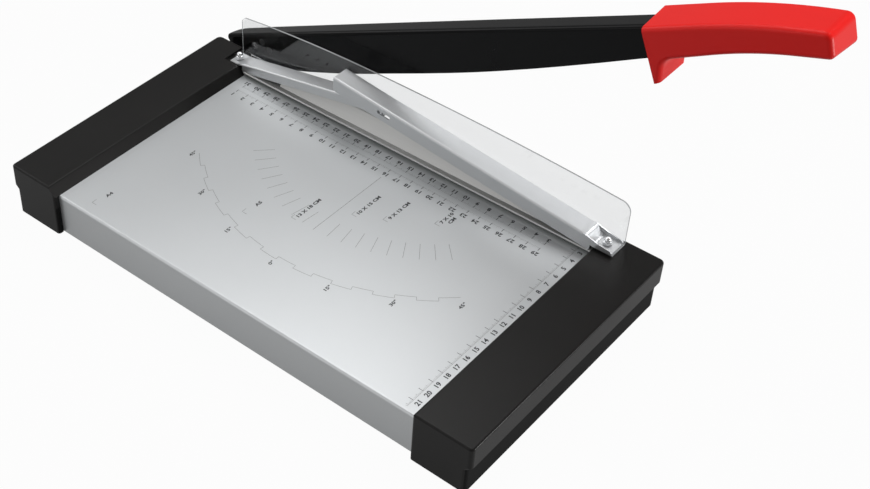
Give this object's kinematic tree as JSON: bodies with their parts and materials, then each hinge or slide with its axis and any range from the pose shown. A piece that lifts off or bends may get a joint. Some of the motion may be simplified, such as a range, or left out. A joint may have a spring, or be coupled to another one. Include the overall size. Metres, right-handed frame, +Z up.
{
  "type": "lever paper cutter",
  "caption": "Lever paper cutter: printed sheet metal table between end caps, hinged knife arm with grip, two-lever paper clamp and clear finger guard.",
  "frame": {"origin": "on the desk, under the middle of the whole machine's box with the arm raised", "axes": "+X along the cutting edge from the pivot to the handle, +Y from the table's front to the knife, +Z up"},
  "size_m": [0.4802, 0.2544, 0.2502],
  "materials": {
    "table_paint": "satin silver paint",
    "rail_paint": "black paint",
    "ground_steel": "ground",
    "zinc_steel": "zinc plated",
    "spring_steel": "spring wire",
    "cap_plastic": "fine grained moulding",
    "foot_rubber": "matt",
    "nut_chrome": "polished",
    "guard_clear": "clear",
    "clamp_aluminium": "extruded, anodised",
    "lever_steel": "bright rolled",
    "arm_paint": "gloss black paint",
    "bush_brass": "turned",
    "handle_plastic": "satin moulding"
  },
  "bodies": {
    "base": {"table_plate": "table_paint", "cross_stiffeners": "zinc_steel", "rear_rail": "rail_paint", "counter_knife": "ground_steel", "knife_screws": "zinc_steel", "pivot_end_cap": "cap_plastic", "handle_end_cap": "cap_plastic", "cap_screws": "zinc_steel", "rubber_feet": "foot_rubber", "foot_screws": "zinc_steel", "post_brackets": "zinc_steel", "clamp_posts": "zinc_steel", "post_nuts": "zinc_steel", "post_washers": "zinc_steel", "dome_nuts": "nut_chrome", "clamp_springs": "spring_steel", "finger_guard": "guard_clear", "pivot_bolt": "zinc_steel", "pivot_washer": "zinc_steel", "spring_washer": "spring_steel", "lock_nut": "zinc_steel"},
    "clamp": {"clamp_bar": "clamp_aluminium", "clamp_pins": "zinc_steel"},
    "left_lever": {"left_lever": "lever_steel", "lever_pin": "zinc_steel"},
    "right_lever": {"right_lever": "lever_steel"},
    "arm": {"knife_arm": "arm_paint", "arm_bracket": "arm_paint", "arm_rivets": "arm_paint", "pivot_bush": "bush_brass", "handle": "handle_plastic", "handle_screws": "zinc_steel"}
  },
  "joints": [
    {"name": "arm_pivot", "type": "hinge", "parent": "base", "child": "arm", "pos_m": [-0.218, 0.0978, 0.027], "axis": [0, 1, 0], "range_deg": [-35, 25.8]},
    {"name": "clamp_press", "type": "slide", "parent": "base", "child": "clamp", "axis": [0, 0, -1], "range_m": [0, 0.002], "stiffness_N_per_m": 800, "springref_m": -0.012, "deforming": ["clamp_springs"]},
    {"name": "left_lever_pivot", "type": "hinge", "parent": "base", "child": "left_lever", "pos_m": [-0.206, 0.0778, 0.0435], "axis": [0, 1, 0], "range_deg": [0, 2.1]},
    {"name": "right_lever_pivot", "type": "hinge", "parent": "base", "child": "right_lever", "pos_m": [0.1313, 0.0778, 0.0455], "axis": [0, -1, 0], "range_deg": [0, 1.65]}
  ],
  "couplings": [
    {"joint": "left_lever_pivot", "follows": "clamp_press", "rad_per_m": 17.857},
    {"joint": "right_lever_pivot", "follows": "clamp_press", "rad_per_m": 13.928}
  ]
}
